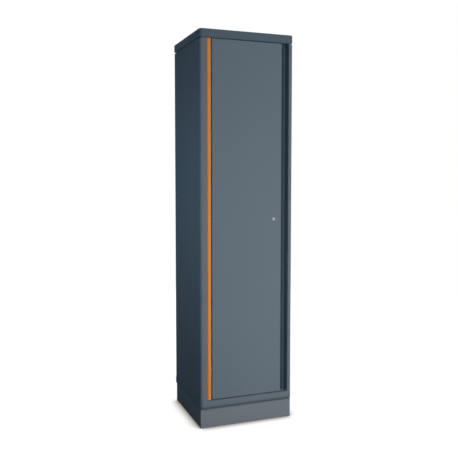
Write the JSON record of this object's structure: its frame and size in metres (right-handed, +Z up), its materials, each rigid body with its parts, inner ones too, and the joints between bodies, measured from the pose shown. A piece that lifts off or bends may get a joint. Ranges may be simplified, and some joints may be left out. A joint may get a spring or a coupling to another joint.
{
  "type": "side locker",
  "caption": "Tall free-standing steel locker on a plinth, with a hinged door, a full-height grip recess, a rod lock, shelves and a coloured strip on its front post.",
  "frame": {"origin": "centre of the floor rectangle that the locker covers, at floor level", "axes": "+Z up, the door faces -Y, the hinges are at -X and the lock at +X"},
  "size_m": [0.5, 0.45, 1.97],
  "materials": {
    "body_paint": "slate grey powder coat, satin, slightly textured",
    "cap_paint": "dark slate powder coat, satin, slightly textured",
    "door_paint": "slate grey powder coat, satin, slightly textured",
    "recess_paint": "very dark slate powder coat, satin, slightly textured",
    "accent_paint": "orange powder coat, satin",
    "shelf_paint": "light grey powder coat, satin",
    "zinc_sheet": "galvanised sheet, dull",
    "zinc_part": "zinc plate, satin",
    "lock_chrome": "polished plate with light wear",
    "guide_plastic": "black moulded plastic",
    "buffer_rubber": "black rubber"
  },
  "bodies": {
    "cabinet": {"plinth_front": "body_paint", "plinth_rear": "body_paint", "plinth_left": "body_paint", "plinth_right": "body_paint", "base_pan": "body_paint", "top_cap": "cap_paint", "top_frame": "body_paint", "side_panel_left": "body_paint", "side_panel_right": "body_paint", "back_panel": "body_paint", "header_rail": "body_paint", "sill_rail": "body_paint", "accent_strip": "accent_paint", "shelf_1": "shelf_paint", "shelf_2": "shelf_paint", "shelf_3": "shelf_paint", "shelf_4": "shelf_paint", "upright_front_left": "zinc_sheet", "upright_rear_left": "zinc_sheet", "upright_front_right": "zinc_sheet", "upright_rear_right": "zinc_sheet", "shelf_clips_1": "zinc_sheet", "shelf_clips_2": "zinc_sheet", "shelf_clips_3": "zinc_sheet", "shelf_clips_4": "zinc_sheet", "hinge_bracket_bottom": "zinc_part", "hinge_bracket_middle": "zinc_part", "hinge_bracket_top": "zinc_part", "hinge_pin_bottom": "zinc_part", "hinge_pin_middle": "zinc_part", "hinge_pin_top": "zinc_part", "hinge_screws": "zinc_part", "plinth_screws": "zinc_part", "cap_screws": "zinc_part", "back_rivets": "zinc_part", "door_buffers": "buffer_rubber"},
    "door": {"door_skin": "door_paint", "door_end_plates": "door_paint", "door_grip_channel": "recess_paint", "door_inner_pan": "door_paint", "hinge_socket_bottom": "zinc_part", "hinge_socket_middle": "zinc_part", "hinge_socket_top": "zinc_part", "lock_housing": "lock_chrome", "lock_nut": "zinc_part", "rod_guides": "guide_plastic", "rod_guide_screws": "zinc_part"},
    "lock": {"lock_plug": "lock_chrome", "lock_cam": "zinc_part", "cam_screw": "zinc_part"},
    "upper_rod": {"upper_rod": "zinc_sheet"},
    "lower_rod": {"lower_rod": "zinc_sheet"}
  },
  "joints": [
    {"name": "door_hinge", "type": "hinge", "parent": "cabinet", "child": "door", "pos_m": [-0.1755, -0.212, 1.0345], "axis": [0, 0, -1], "range_deg": [0, 105]},
    {"name": "lock_turn", "type": "hinge", "parent": "door", "child": "lock", "pos_m": [0.145, -0.212, 1.042], "axis": [0, -1, 0], "range_deg": [0, 90]},
    {"name": "upper_rod_slide", "type": "slide", "parent": "door", "child": "upper_rod", "axis": [0, 0, 1], "range_m": [0, 0.0185]},
    {"name": "lower_rod_slide", "type": "slide", "parent": "door", "child": "lower_rod", "axis": [0, 0, -1], "range_m": [0, 0.0185]}
  ],
  "couplings": [
    {"joint": "upper_rod_slide", "follows": "lock_turn", "m_per_rad": 0.011704},
    {"joint": "lower_rod_slide", "follows": "lock_turn", "m_per_rad": 0.011704}
  ]
}
